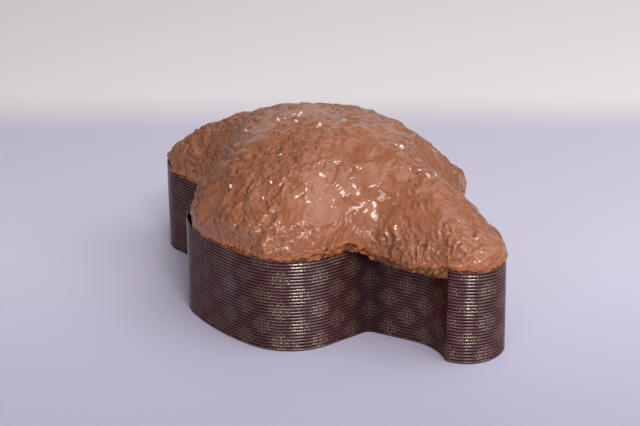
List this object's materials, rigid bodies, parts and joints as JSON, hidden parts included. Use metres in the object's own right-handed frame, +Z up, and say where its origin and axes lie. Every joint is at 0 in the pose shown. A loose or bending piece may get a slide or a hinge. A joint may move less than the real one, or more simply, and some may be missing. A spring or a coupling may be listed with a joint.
{
  "type": "colomba cake",
  "caption": "Dove-shaped leavened Easter cake with a domed, lumpy milk chocolate coating and salt flakes, in a dark ridged paper baking case with gold rosettes.",
  "frame": {"origin": "on the ground under the middle of the paper case", "axes": "+X from the tail to the head, +Y to the bird's left wing, +Z up"},
  "size_m": [0.3067, 0.2004, 0.1339],
  "materials": {
    "case_paper": "dark brown corrugated baking paper with a soft sheen and a thin gold print",
    "baked_crust": "dry golden brown crust",
    "milk_chocolate": "milk chocolate, satin with glossy wrinkles",
    "salt": "white translucent flake salt"
  },
  "bodies": {
    "root": {"paper_case": "case_paper", "cake_body": "baked_crust", "chocolate_coating": "milk_chocolate"}
  },
  "joints": []
}
